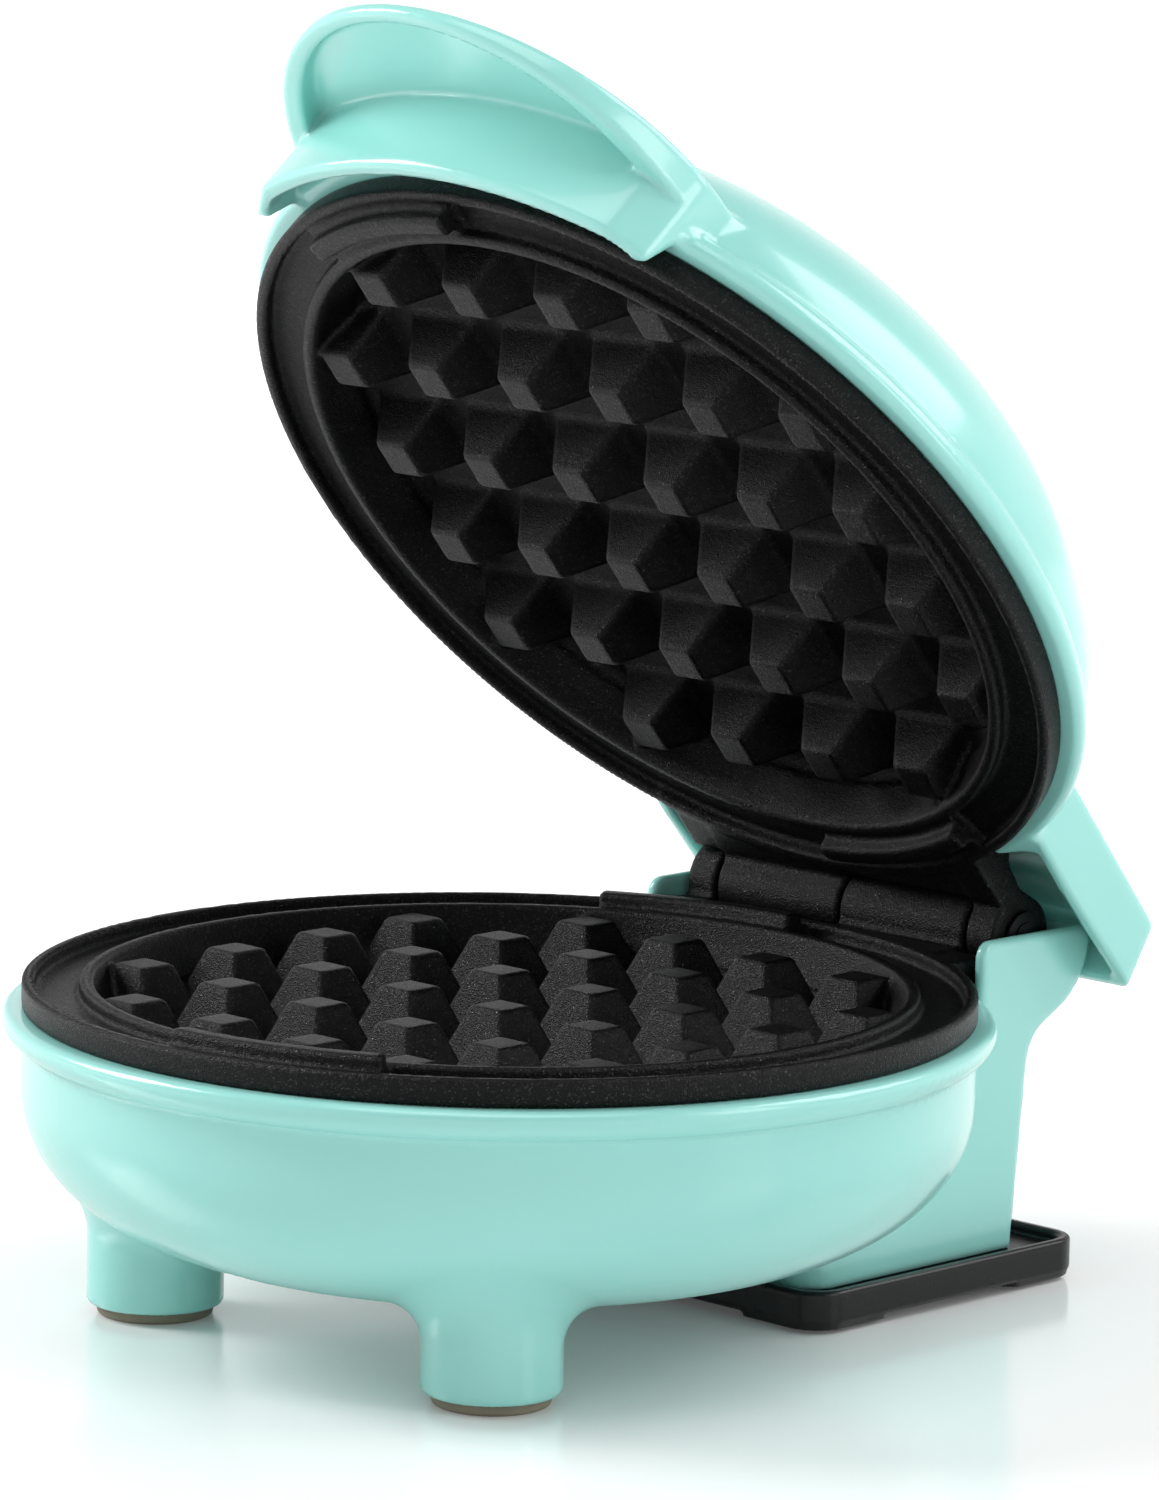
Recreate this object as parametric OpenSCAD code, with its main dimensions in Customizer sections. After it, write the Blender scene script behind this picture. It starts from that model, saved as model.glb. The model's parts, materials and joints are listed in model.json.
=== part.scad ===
// Small round waffle maker with a hinged lid, standing open.
// +X is the right-hand side, +Y points from the handle to the hinge, +Z is up.
// The floor is z = 0. All sizes are in millimetres.

/* [Plates] */
// Outer radius of both cast plates
plate_r = 60.25; // [59:0.05:60.8]
// Height of the lower plate's rim above the floor
seam_z = 43.6; // [43:0.1:44.4]
// Height of the plate's visible edge
plate_edge_h = 3.5; // [3:0.1:4]
// Radius of the cooking cavity at its rim
cavity_r = 51.2; // [50.6:0.1:51.5]
// Depth of the cooking cavity below the rim
cavity_h = 7.8; // [7:0.1:8.4]
// Distance between the studs of the grid
stud_pitch = 16.1; // [15:0.1:16.4]
// Width of a stud at its flat top
stud_top_w = 5.6; // [4.5:0.1:6.5]
// Width of a stud at its foot
stud_foot_w = 11.2; // [10:0.1:11.8]

/* [Shells] */
// Wall thickness of the moulded shells
wall = 2.2; // [1.8:0.1:2.6]
// Outer radius of the rim of the bowl and of the lid
rim_r = 62.7; // [62.2:0.1:63.5]
// Radius of the bowl below its rim
bowl_r = 60.2; // [59.8:0.1:60.6]
// Height of the bowl's flat bottom above the floor
bowl_floor_z = 10; // [9:0.5:11]
// Height of the closed lid's flat top above the floor
dome_top_z = 75.5; // [74:0.5:80]
// Half the width of the handle
handle_w2 = 34; // [33:0.1:35]
// Half the width of the lid's tail, which covers the hinge
tail_w2 = 36; // [35:0.5:38]

/* [Hinge] */
// Distance from the plate's centre back to the hinge axis
hinge_y = 68.35; // [68.2:0.05:68.8]
// Height of the hinge axis above the floor
hinge_z = 44.7; // [44.5:0.1:45]
// Angle that the lid stands open
lid_open = 50.6; // [0:0.1:95]
// Radius of the hinge pin
pin_r = 2; // [1.6:0.1:2.5]
// Radius of the knuckles round the pin
knuckle_r = 5.5; // [5:0.1:5.6]

/* [Stand] */
// Half the distance between the front feet
foot_x = 30.2; // [28:0.1:32]
// Distance from the plate's centre forward to the front feet
foot_y = 30.7; // [28:0.1:32]
// Radius of a front foot's rubber pad
pad_r = 7.4; // [6:0.1:7.8]
// Half the width of the hinge column
column_w2 = 30.2; // [30:0.1:30.6]
// Half the width of the base that the cord winds above
cord_base_w2 = 35.4; // [34:0.1:36]

/* [Hidden] */
$fn = 96;
eps = 0.01;

// Colours of the materials.
mint = "#a9e6dc";
charcoal = "#26262a";
pad_grey = "#77746a";
steel = "#b9bcc0";
cream = "#efe9da";
lead_white = "#e4e2da";
sleeve_grey = "#8d8f92";
lens_amber = "#e8842c";

// The closed lid's plate stands this far above the lower plate.
plate_gap = 0.3;
lid_seam_z = seam_z + plate_gap;
// The lip of each shell touches the back of its plate's edge.
base_lip_z = seam_z - plate_edge_h;
lid_lip_z = lid_seam_z + plate_edge_h;

// Bowl: upright above this height, then a quarter oval down to the flat bottom.
bowl_turn_z = 30;
bowl_flat_r = 30;
bowl_power = 2.1;
// Dome: a quarter oval up to the flat top.
dome_r = 60.5;
dome_turn_z = 50.2;
dome_flat_r = 25.8;
dome_power = 1.73;

// Handle: a brim that juts out in front, and a skirt below it.
handle_turn_y = -49.5;
brim_z0 = 51.2;
skirt_r = 67;
skirt_z0 = 41.8;
skirt_x = 24;
skirt_corner_y = -67.2;
skirt_roof_z = lid_lip_z + 1.2;
skirt_side_y = -55;
brim_wall = 1.7;
brim_top = [
    [20, 57], [58.8, 57], [65, 56.5], [72, 55.6], [78, 54.6], [83.5, 53.3], [90, 51.9]
];
recess_r = 29.9;
recess_y = -51.6;

// Tail of the lid, as it lies when the lid is closed.
tail_wall = 1.8;
tail_top_z = 58.4;
tail_low_y = 81.6;
tail_low_z = 49.5;
tail_high_y = 78.7;
tail_lean = (tail_low_y - tail_high_y) / (tail_top_z - tail_low_z);
tail_root_z = 48.6;
tail_root_y = 44;
tail_mouth_y = 55.5;

// The origin lies under the middle of the object as it stands open.
tail_back_y = hinge_y + cos(lid_open) * (tail_high_y - hinge_y)
    + sin(lid_open) * (tail_top_z - hinge_z);
origin_y = (tail_back_y - rim_r) / 2;

// Column: bottom, top, and the barrel round the hinge at its back.
column_z0 = 4.2;
column_z1 = 45.6;
column_front_y = 57.8;
column_low_front_y = 26;
column_back_y = 65;
column_neck_y = 67.2;
column_neck_z = 27.9;
column_barrel_r = 10.9;
column_wall = 1.7;
cheek_x = column_w2 - column_wall;
slot_z = seam_z - plate_edge_h - 1.6;

// Rim, land and ridge round the cavity, and the arcs that key the plates together.
rim_w = 1.6;
land_h = 1.9;
ridge_w = 1.8;
casting_h = 10.8;
pan_r = 54.5;
key_r0 = 54.3;
key_r1 = 57;
key_h = 1.5;
key_sweep = 30;
key_angles = [-89.5, 91];

// Tongue and knuckles of a plate. The two plates' knuckles alternate on the pin.
tongue_h = 4.1;
tongue_drop = 0.6;
knuckle_half_gap = 0.15;
knuckle_clear = 0.8;
barrel_x = 22.2;
lug_x = 27.4;
pin_play = 0.05;

// Screws, and the bosses that join the shells to the plates.
screw_r = 1.5;
screw_play = 0.05;
screw_head_r = 2.8;
screw_head_h = 1.8;
boss_r = 3.4;
boss_h = 5;
boss_ring_r = 44;
boss_angles = [30, 150, 270];
boss_seat_z = 16.5;
sheet = 0.8;
post_end = casting_h + boss_h + sheet;

// Heating element: a tube bent to an open ring behind each plate.
element_ring_r = 33;
element_tube_r = 3.1;
element_sweep = 310;
element_z = -casting_h - element_tube_r - 0.1;
clamp_angles = [0, 180, 240, 300];
clamp_w = 8;
clamp_foot = 6.8;
clamp_half = element_tube_r + 0.3;
clamp_screw_r = clamp_half + clamp_foot / 2 + 0.5;

// Stand under the column.
cord_base_y0 = 22;
cord_base_y1 = 73.8;
cord_base_z0 = 1.2;
cord_base_rim_z = 5.6;
cord_screw_x = 25.2;
cord_screw_y = 48;
cord_pad_r = 4;

// Bushing at the back of the column where the cord comes in.
gland_z = 14;
gland_r = 4.6;
gland_bore_r = 3.4;
gland_face_y = 66.9;
gland_flange_h = 1.6;

// Leads and the sleeve that guides them round the hinge.
lead_r = 1;
sleeve_r = 1.4;
sleeve_ring_r = 7.3;
sleeve_x = 11;

// Indicator light in the lid's top.
lens_r = 3;
lens_y = -12;

// ---- Helpers ----

function oval(r_flat, r_max, z_max, z_flat, power, count) = [
    for (i = [0:count]) let (t = 90 * i / count)
        [r_flat + (r_max - r_flat) * pow(cos(t), 2 / power),
         z_max + (z_flat - z_max) * pow(sin(t), 2 / power)]
];

function arc(centre, r, from, to, count) = [
    for (i = [0:count]) let (t = from + (to - from) * i / count)
        centre + r * [cos(t), sin(t)]
];

// Plate-centred geometry moved to the origin of the object.
module place() translate([0, -origin_y, 0]) children();

// Closed-lid geometry swung up to where the lid stands.
module place_lid()
    place()
        translate([0, hinge_y, hinge_z])
            rotate([-lid_open, 0, 0])
                translate([0, -hinge_y, -hinge_z])
                    children();

// Geometry drawn for a plate that lies face up with its face at z = 0.
module at_lower_plate() place() translate([0, 0, seam_z]) children();

module at_upper_plate()
    place_lid()
        translate([0, 0, lid_seam_z])
            rotate([0, 180, 0])
                children();

// A solid of the outline drawn in Y and Z, centred on x = 0.
module along_x(width)
    rotate([90, 0, 90])
        linear_extrude(width, center = true)
            children();

module rod_x(r, x0, x1)
    translate([x0, 0, 0])
        rotate([0, 90, 0])
            cylinder(r = r, h = x1 - x0);

module at_angles(angles, r)
    for (a = angles)
        rotate([0, 0, a])
            translate([r, 0, 0])
                children();

module rounded_rect(x2, y0, y1, r) {
    translate([-x2, y0 + r])
        square([2 * x2, y1 - y0 - 2 * r]);
    translate([-x2 + r, y0])
        square([2 * (x2 - r), y1 - y0]);
    for (x = [-x2 + r, x2 - r], y = [y0 + r, y1 - r])
        translate([x, y])
            circle(r = r);
}

// Cross-head screw that points along +Z, with the seat of its head at z = 0.
module screw(length) {
    slot_l = screw_head_r * 1.2;
    difference() {
        translate([0, 0, -screw_head_h])
            cylinder(r = screw_head_r, h = screw_head_h);
        for (a = [0, 90])
            rotate([0, 0, a])
                translate([-slot_l / 2, -0.3, -screw_head_h - eps])
                    cube([slot_l, 0.6, 0.8]);
    }
    translate([0, 0, -eps])
        cylinder(r = screw_r, h = length);
}

// Wire through the given points.
module lead(points, r)
    for (i = [0:len(points) - 2]) {
        step = points[i + 1] - points[i];
        translate(points[i])
            rotate([0, acos(step.z / norm(step)), atan2(step.y, step.x)])
                cylinder(r = r, h = norm(step));
        translate(points[i + 1])
            sphere(r = r + 0.04);
    }

// ---- Cast plates ----

// Trapezoids in a row: the section through a row of studs.
module stud_row_section() {
    count = 6;
    foot_z = -cavity_h - 1;
    top_z = -0.9;
    slope = (stud_foot_w - stud_top_w) / 2 / (cavity_h + top_z);
    deep_w2 = stud_foot_w / 2 + slope;
    for (i = [0:count - 1])
        translate([(i - (count - 1) / 2) * stud_pitch, 0])
            polygon([
                [-deep_w2, foot_z], [deep_w2, foot_z],
                [stud_top_w / 2, top_z], [-stud_top_w / 2, top_z]
            ]);
}

module studs() {
    span = 6 * stud_pitch;
    corner = 2.5 * stud_pitch;
    difference() {
        intersection() {
            rotate([90, 0, 0])
                linear_extrude(span, center = true)
                    stud_row_section();
            rotate([90, 0, 90])
                linear_extrude(span, center = true)
                    stud_row_section();
            translate([0, 0, -casting_h + 1])
                cylinder(r = cavity_r + 0.3, h = casting_h);
        }
        for (x = [-corner, corner], y = [-corner, corner])
            translate([x, y, -5])
                cube([stud_pitch, stud_pitch, 20], center = true);
    }
}

module plate_section() {
    ridge_r = cavity_r + ridge_w;
    land_r = plate_r - rim_w;
    polygon([
        [0, -casting_h], [pan_r - 1.5, -casting_h], [pan_r, -casting_h + 1.5],
        [pan_r, -plate_edge_h], [plate_r, -plate_edge_h], [plate_r, -0.3],
        [plate_r - 0.3, 0], [land_r + 0.3, 0], [land_r, -0.3], [land_r, -land_h],
        [ridge_r, -land_h], [ridge_r, -0.5], [ridge_r - 0.4, -0.1],
        [cavity_r + 0.4, -0.1], [cavity_r, -0.5], [cavity_r - 2.2, -cavity_h + 1.6],
        [cavity_r - 2.7, -cavity_h + 0.6], [cavity_r - 3.6, -cavity_h], [0, -cavity_h]
    ]);
}

// Raised arc that enters the other plate's land, on a filled stretch of its own land.
module key_arc() {
    chamfer = 0.4;
    shelf_z = -0.4;
    rotate_extrude(angle = key_sweep)
        polygon([
            [cavity_r + 0.8, -land_h - 1], [plate_r - 0.8, -land_h - 1],
            [plate_r - 0.8, shelf_z], [key_r1 + 0.3, shelf_z], [key_r1, key_h - chamfer],
            [key_r1 - chamfer, key_h], [key_r0 + chamfer, key_h], [key_r0, key_h - chamfer],
            [key_r0 - 0.3, shelf_z], [cavity_r + 0.8, shelf_z]
        ]);
}

// A whole casting lying face up with its face at z = 0. Its own knuckles are a lug
// on the left and a barrel on the right; axis_z is the height of the hinge axis.
module plate_casting(axis_z) {
    own = [
        [-lug_x, -barrel_x - knuckle_half_gap],
        [knuckle_half_gap, barrel_x - knuckle_half_gap]
    ];
    other = [
        [-barrel_x - knuckle_half_gap, knuckle_half_gap],
        [barrel_x - knuckle_half_gap, lug_x + 1]
    ];
    tongue_z = -tongue_drop - tongue_h;
    difference() {
        union() {
            rotate_extrude()
                plate_section();
            for (a = key_angles)
                rotate([0, 0, a])
                    key_arc();
            difference() {
                union() {
                    translate([-lug_x, 50, tongue_z])
                        cube([2 * lug_x, hinge_y - knuckle_r - knuckle_clear - 50, tongue_h]);
                    for (x = own)
                        translate([x[0], 55, tongue_z])
                            cube([x[1] - x[0], hinge_y - 55, tongue_h]);
                }
                translate([0, 0, -casting_h])
                    cylinder(r = plate_r - 1, h = 2 * casting_h);
            }
            for (x = own)
                translate([0, hinge_y, axis_z])
                    rod_x(knuckle_r, x[0], x[1]);
            at_angles(boss_angles, boss_ring_r)
                translate([0, 0, -casting_h - boss_h])
                    cylinder(r = boss_r, h = boss_h + 0.5);
        }
        for (x = other)
            translate([0, hinge_y, axis_z])
                rod_x(knuckle_r + knuckle_clear, x[0], x[1]);
        translate([0, hinge_y, axis_z])
            rod_x(pin_r + pin_play, -lug_x - 1, lug_x + 1);
        at_angles(boss_angles, boss_ring_r)
            translate([0, 0, -casting_h - boss_h - eps])
                cylinder(r = screw_r + screw_play, h = boss_h + 2);
        for (u = [-1, 1])
            at_angles(clamp_angles, element_ring_r + u * clamp_screw_r)
                translate([0, 0, -casting_h - eps])
                    cylinder(r = screw_r + screw_play, h = 1.9);
    }
    studs();
}

module lower_plate()
    color(charcoal)
        at_lower_plate()
            plate_casting(hinge_z - seam_z);

module upper_plate()
    color(charcoal)
        at_upper_plate()
            plate_casting(lid_seam_z - hinge_z);

// ---- Base ----

// Half section of the bowl, shrunk by inset and cut off at top_z.
module bowl_section(inset, top_z)
    polygon(concat(
        [[0, top_z], [bowl_r - inset, top_z]],
        oval(bowl_flat_r, bowl_r - inset, bowl_turn_z, bowl_floor_z + inset, bowl_power, 20),
        [[0, bowl_floor_z + inset]]
    ));

// Lip at the plate's edge, which tapers back to the wall. dir is 1 for the bowl
// and -1 for the dome, which is its mirror image.
module lip_section(lip_z, dir)
    polygon([
        [bowl_r - wall, lip_z], [rim_r - 1.3, lip_z], [rim_r - 0.35, lip_z - dir * 0.3],
        [rim_r, lip_z - dir * 0.9], [rim_r - 0.1, lip_z - dir * 1.5],
        [rim_r - 1.5, lip_z - dir * 3.4], [bowl_r + 0.5, lip_z - dir * 3.9],
        [bowl_r - 0.4, lip_z - dir * 5], [bowl_r - wall, lip_z - dir * 5]
    ]);

// Side outline of the hinge column in Y and Z, shrunk by inset.
module column_outline(inset, z0) {
    neck_r = 6.5;
    corner_r = 2.2;
    top_z = column_z1 - inset;
    front_y = column_front_y + inset;
    rear_y = hinge_y + column_barrel_r - inset;
    neck_y = column_neck_y - inset;
    polygon(concat(
        [[column_low_front_y + inset, z0], [column_low_front_y + inset, 24], [front_y, 36]],
        arc([front_y + corner_r, top_z - corner_r], corner_r, 180, 90, 4),
        arc([rear_y - corner_r, top_z - corner_r], corner_r, 90, 0, 4),
        arc([hinge_y, hinge_z], column_barrel_r - inset, -12, -62, 12),
        arc([neck_y + neck_r, column_neck_z], neck_r, 125, 180, 6),
        [[column_back_y - inset, z0]]
    ));
}

// Foot moulded to the bowl. Its flare leans outward with the bowl's side.
module foot(side) {
    foot_r = 8.7;
    foot_z0 = 1.4;
    flare_r = 4;
    flare_w = 3.4;
    flare_z = bowl_floor_z + 2.6;
    lean = 16;
    translate([side * foot_x, -foot_y, 0]) {
        rotate_extrude()
            polygon([
                [0, foot_z0], [foot_r - 0.7, foot_z0], [foot_r, foot_z0 + 0.7],
                [foot_r, 18], [0, 18]
            ]);
        translate([0, 0, flare_z])
            rotate([0, 0, atan2(-foot_y, side * foot_x)])
                rotate([0, -lean, 0])
                    rotate_extrude()
                        polygon(concat(
                            arc([foot_r - 0.3 + flare_r, -flare_r], flare_r, 175, 96, 8),
                            [[foot_r + flare_w, 0.6], [0, 0.6], [0, -flare_r]]
                        ));
    }
}

module bowl_outside()
    rotate_extrude() {
        bowl_section(0, base_lip_z - 4);
        lip_section(base_lip_z, 1);
    }

module base_body()
    difference() {
        union() {
            bowl_outside();
            along_x(2 * column_w2)
                column_outline(0, column_z0);
            foot(-1);
            foot(1);
        }
        rotate_extrude()
            bowl_section(wall, seam_z);
        difference() {
            along_x(2 * cheek_x)
                column_outline(column_wall, column_z0 - 1);
            rotate_extrude()
                bowl_section(0, base_lip_z + 2);
        }
        // Opens the top of the column between its cheeks, and the rim in front of it.
        translate([-cheek_x, 48, slot_z])
            cube([2 * cheek_x, hinge_y + column_barrel_r - column_wall - 48, 20]);
        // Window for the leads in the bowl's wall.
        translate([-14, 50, 12])
            cube([28, 7.5, 20]);
        for (x = [-foot_x, foot_x])
            translate([x, -foot_y, 0])
                cylinder(r = pad_r + 0.1, h = 2.4);
    }

module base_bosses() {
    intersection() {
        at_angles(boss_angles, boss_ring_r)
            translate([0, 0, bowl_floor_z])
                cylinder(r = boss_r, h = seam_z - post_end - bowl_floor_z);
        rotate_extrude()
            bowl_section(0.5, seam_z);
    }
    difference() {
        for (x = [-cord_screw_x, cord_screw_x])
            translate([x, cord_screw_y, column_z0])
                cylinder(r = 3.8, h = 20);
        rotate_extrude()
            bowl_section(wall - 0.5, seam_z);
    }
    translate([0, column_back_y - column_wall - 1, gland_z])
        rotate([-90, 0, 0])
            cylinder(r = gland_r + 2.6, h = gland_face_y - column_back_y + column_wall + 1);
}

module base_shell()
    color(mint)
        place()
            difference() {
                union() {
                    base_body();
                    base_bosses();
                }
                at_angles(boss_angles, boss_ring_r) {
                    cylinder(r = screw_r + 0.2, h = seam_z);
                    cylinder(r = screw_head_r + 0.4, h = boss_seat_z);
                }
                for (x = [-cord_screw_x, cord_screw_x])
                    translate([x, cord_screw_y, 0])
                        cylinder(r = screw_r + screw_play, h = 14);
                translate([0, gland_face_y - 12, gland_z])
                    rotate([-90, 0, 0])
                        cylinder(r = gland_r, h = 20);
            }

module foot_pad(x)
    color(pad_grey)
        place()
            translate([x, -foot_y, 0])
                rotate_extrude()
                    polygon([[0, 0], [pad_r - 0.5, 0], [pad_r, 0.5], [pad_r, 2.4], [0, 2.4]]);

module left_foot_pad() foot_pad(-foot_x);

module right_foot_pad() foot_pad(foot_x);

module cord_pad_centres()
    for (x = [-1, 1], y = [cord_base_y0 + 7, cord_base_y1 - 7])
        translate([x * (cord_base_w2 - 7), y, 0])
            children();

module cord_wrap_base()
    color(charcoal)
        place()
            difference() {
                union() {
                    translate([0, 0, cord_base_z0])
                        linear_extrude(column_z0 - cord_base_z0)
                            rounded_rect(cord_base_w2, cord_base_y0, cord_base_y1, 5);
                    translate([0, 0, cord_base_z0])
                        linear_extrude(cord_base_rim_z - cord_base_z0)
                            difference() {
                                rounded_rect(cord_base_w2, cord_base_y0, cord_base_y1, 5);
                                rounded_rect(cord_base_w2 - 1.6, cord_base_y0 + 1.6,
                                    cord_base_y1 - 1.6, 3.4);
                            }
                    // Skirt that reaches down to the pads at the four corners.
                    translate([0, 0, 0.5])
                        linear_extrude(1)
                            intersection() {
                                rounded_rect(cord_base_w2 - 0.3, cord_base_y0 + 0.3,
                                    cord_base_y1 - 0.3, 4.7);
                                cord_pad_centres()
                                    circle(r = 9);
                            }
                }
                cord_pad_centres()
                    cylinder(r = cord_pad_r + 0.05, h = 1.8);
                for (x = [-cord_screw_x, cord_screw_x])
                    translate([x, cord_screw_y, 0]) {
                        cylinder(r = screw_r + 0.2, h = 20);
                        cylinder(r = screw_head_r + 0.4, h = 3);
                    }
            }

module cord_base_pads()
    color(pad_grey)
        place()
            cord_pad_centres()
                cylinder(r = cord_pad_r, h = 1.8);

module cord_base_screws()
    color(steel)
        place()
            for (x = [-cord_screw_x, cord_screw_x])
                translate([x, cord_screw_y, 3])
                    screw(10);

module cord_gland()
    color(charcoal)
        place()
            translate([0, gland_face_y, gland_z])
                rotate([-90, 0, 0])
                    difference() {
                        union() {
                            translate([0, 0, -7])
                                cylinder(r = gland_r - 0.03, h = 7.5);
                            cylinder(r = gland_r + 1.4, h = gland_flange_h);
                        }
                        translate([0, 0, -8])
                            cylinder(r = gland_bore_r, h = 12);
                    }

module lower_plate_screws()
    color(steel)
        place()
            at_angles(boss_angles, boss_ring_r)
                translate([0, 0, boss_seat_z])
                    screw(17);

terminal_xs = [-10, 0, 10];
terminal_y = 57;
terminal_top_z = 10.5;

module terminal_block()
    color(cream)
        place()
            difference() {
                translate([-15, terminal_y - 3.5, column_z0])
                    cube([30, 6, terminal_top_z - column_z0]);
                for (x = terminal_xs)
                    translate([x, terminal_y, column_z0 + 1.5])
                        cylinder(r = 2, h = 10);
            }

// Two leads to the lower element, and one towards the hinge on either side.
module base_leads()
    color(lead_white)
        place()
            for (side = [-1, 1]) {
                lead([
                    [side * 10, terminal_y, 7], [side * 10, terminal_y, 14],
                    [side * 8, 54, 24.5], [side * 5, 42, 29.6], [side * 5, 36.5, 29.6]
                ], lead_r);
                lead([
                    [side * (sleeve_x + 1), terminal_y + 3.8, 8],
                    [side * (sleeve_x + 1), 62.2, 20], [side * sleeve_x, 62.7, 33]
                ], lead_r);
            }

// ---- Heating, the same behind both plates ----

module element_shape() {
    leg = 6;
    pin_l = 4;
    translate([0, 0, element_z])
        rotate([0, 0, 90 + (360 - element_sweep) / 2]) {
            rotate_extrude(angle = element_sweep)
                translate([element_ring_r, 0])
                    circle(r = element_tube_r);
            for (end = [[0, 90], [element_sweep, -90]])
                rotate([0, 0, end[0]])
                    translate([element_ring_r, 0, 0])
                        rotate([end[1], 0, 0]) {
                            translate([0, 0, -0.5])
                                cylinder(r = element_tube_r - 0.2, h = leg + 0.5);
                            cylinder(r = 1.2, h = leg + pin_l);
                        }
        }
}

module clamp_shapes() {
    drop = 2 * element_tube_r + 0.3;
    w = clamp_half;
    difference() {
        at_angles(clamp_angles, element_ring_r)
            translate([0, 0, -casting_h])
                rotate([90, 0, 0])
                    linear_extrude(clamp_w, center = true)
                        polygon([
                            [-w - clamp_foot, 0], [-w, 0], [-w, -drop], [w, -drop], [w, 0],
                            [w + clamp_foot, 0], [w + clamp_foot, -sheet], [w + sheet, -sheet],
                            [w + sheet, -drop - sheet], [-w - sheet, -drop - sheet],
                            [-w - sheet, -sheet], [-w - clamp_foot, -sheet]
                        ]);
        at_clamp_screws()
            translate([0, 0, -2])
                cylinder(r = screw_r + 0.1, h = 4);
    }
}

module at_clamp_screws()
    for (u = [-1, 1])
        at_angles(clamp_angles, element_ring_r + u * clamp_screw_r)
            translate([0, 0, -casting_h - sheet])
                children();

module clamp_screw_shapes()
    at_clamp_screws()
        screw(sheet + 1.7);

// Dished sheet that keeps the heat off the shell. It is held at the bosses, and a
// window lets the leads through.
module heat_shield_shape() {
    dish_z = -casting_h - 10.5;
    flange_z = -post_end;
    difference() {
        rotate_extrude()
            polygon([
                [0, dish_z], [36.5, dish_z], [39.3, flange_z], [50.6, flange_z],
                [50.6, -casting_h - 1.2], [49.8, -casting_h - 1.2],
                [49.8, flange_z + sheet], [38.8, flange_z + sheet],
                [36, dish_z + sheet], [0, dish_z + sheet]
            ]);
        at_angles(boss_angles, boss_ring_r)
            translate([0, 0, -40])
                cylinder(r = screw_r + 0.3, h = 40);
        translate([-14, 24, -40])
            cube([28, 40, 40]);
    }
}

module lower_element() color(steel) at_lower_plate() element_shape();

module upper_element() color(steel) at_upper_plate() element_shape();

module lower_element_clamps() color(steel) at_lower_plate() clamp_shapes();

module upper_element_clamps() color(steel) at_upper_plate() clamp_shapes();

module lower_clamp_screws() color(steel) at_lower_plate() clamp_screw_shapes();

module upper_clamp_screws() color(steel) at_upper_plate() clamp_screw_shapes();

module lower_heat_shield() color(steel) at_lower_plate() heat_shield_shape();

module upper_heat_shield() color(steel) at_upper_plate() heat_shield_shape();

module thermostat()
    color(cream)
        at_lower_plate()
            translate([0, 0, -casting_h - 8]) {
                cylinder(r = 8, h = 6);
                translate([0, 0, 6 - eps])
                    cylinder(r = 6.5, h = 2 + eps);
                for (x = [-9.5, 9.5])
                    translate([x, 0, 2])
                        cube([6, 4, 0.8], center = true);
            }

module thermal_fuse()
    color(steel)
        at_lower_plate()
            translate([0, -15, -casting_h - 3]) {
                rod_x(2, -6, 6);
                rod_x(0.6, -11, 11);
                translate([-2, -1.5, 0])
                    cube([4, 3, 3]);
            }

// ---- Hinge ----

module at_hinge() place() translate([0, hinge_y, hinge_z]) children();

clip_x0 = lug_x + 0.3;
clip_x1 = lug_x + 0.75;

module hinge_pin()
    color(steel)
        at_hinge()
            difference() {
                union() {
                    rod_x(pin_r, -lug_x - 0.5, lug_x + 0.95);
                    rod_x(pin_r + 1.2, -lug_x - 0.95, -lug_x - 0.05);
                }
                difference() {
                    rod_x(pin_r + 1, clip_x0, clip_x1);
                    rod_x(pin_r - 0.5, clip_x0 - 1, clip_x1 + 1);
                }
            }

module hinge_clip()
    color(steel)
        at_hinge()
            difference() {
                rod_x(pin_r + 1.4, clip_x0 + 0.03, clip_x1 - 0.03);
                rod_x(pin_r - 0.48, clip_x0 - 1, clip_x1 + 1);
                translate([clip_x0 - 1, -1.1, -6])
                    cube([3, 2.2, 6]);
            }

// ---- Lid, drawn closed ----

module dome_section(inset)
    polygon(concat(
        [[0, lid_lip_z - inset], [dome_r - inset, lid_lip_z - inset]],
        oval(dome_flat_r, dome_r - inset, dome_turn_z, dome_top_z - inset, dome_power, 24),
        [[0, dome_top_z - inset]]
    ));

module handle_plan() {
    translate([0, handle_turn_y])
        circle(r = handle_w2);
    translate([-handle_w2, handle_turn_y])
        square([2 * handle_w2, 20]);
}

// Everything below the brim's top, lowered by inset.
module under_brim_top(inset)
    rotate_extrude()
        polygon(concat(
            [[90, skirt_z0 - 3], [20, skirt_z0 - 3]],
            [for (p = brim_top) p - [0, inset]]
        ));

// Brim of the handle, hollowed from below for the fingers. Its top falls away in
// front like the lid itself.
module brim()
    difference() {
        intersection() {
            translate([0, 0, brim_z0])
                linear_extrude(20)
                    handle_plan();
            under_brim_top(0);
        }
        intersection() {
            translate([0, recess_y, brim_z0 - 1])
                cylinder(r = recess_r, h = 20);
            under_brim_top(brim_wall);
        }
    }

// Plan of the skirt below the brim, shrunk by inset.
module skirt_plan(inset)
    intersection() {
        circle(r = skirt_r - inset);
        for (side = [-1, 1])
            polygon([
                [0, -40], [side * (handle_w2 - inset), -40],
                [side * (handle_w2 - inset), skirt_side_y + inset * 0.4],
                [side * (skirt_x - inset), skirt_corner_y + inset * 0.4],
                [side * (skirt_x - inset), -90], [0, -90]
            ]);
    }

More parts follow.
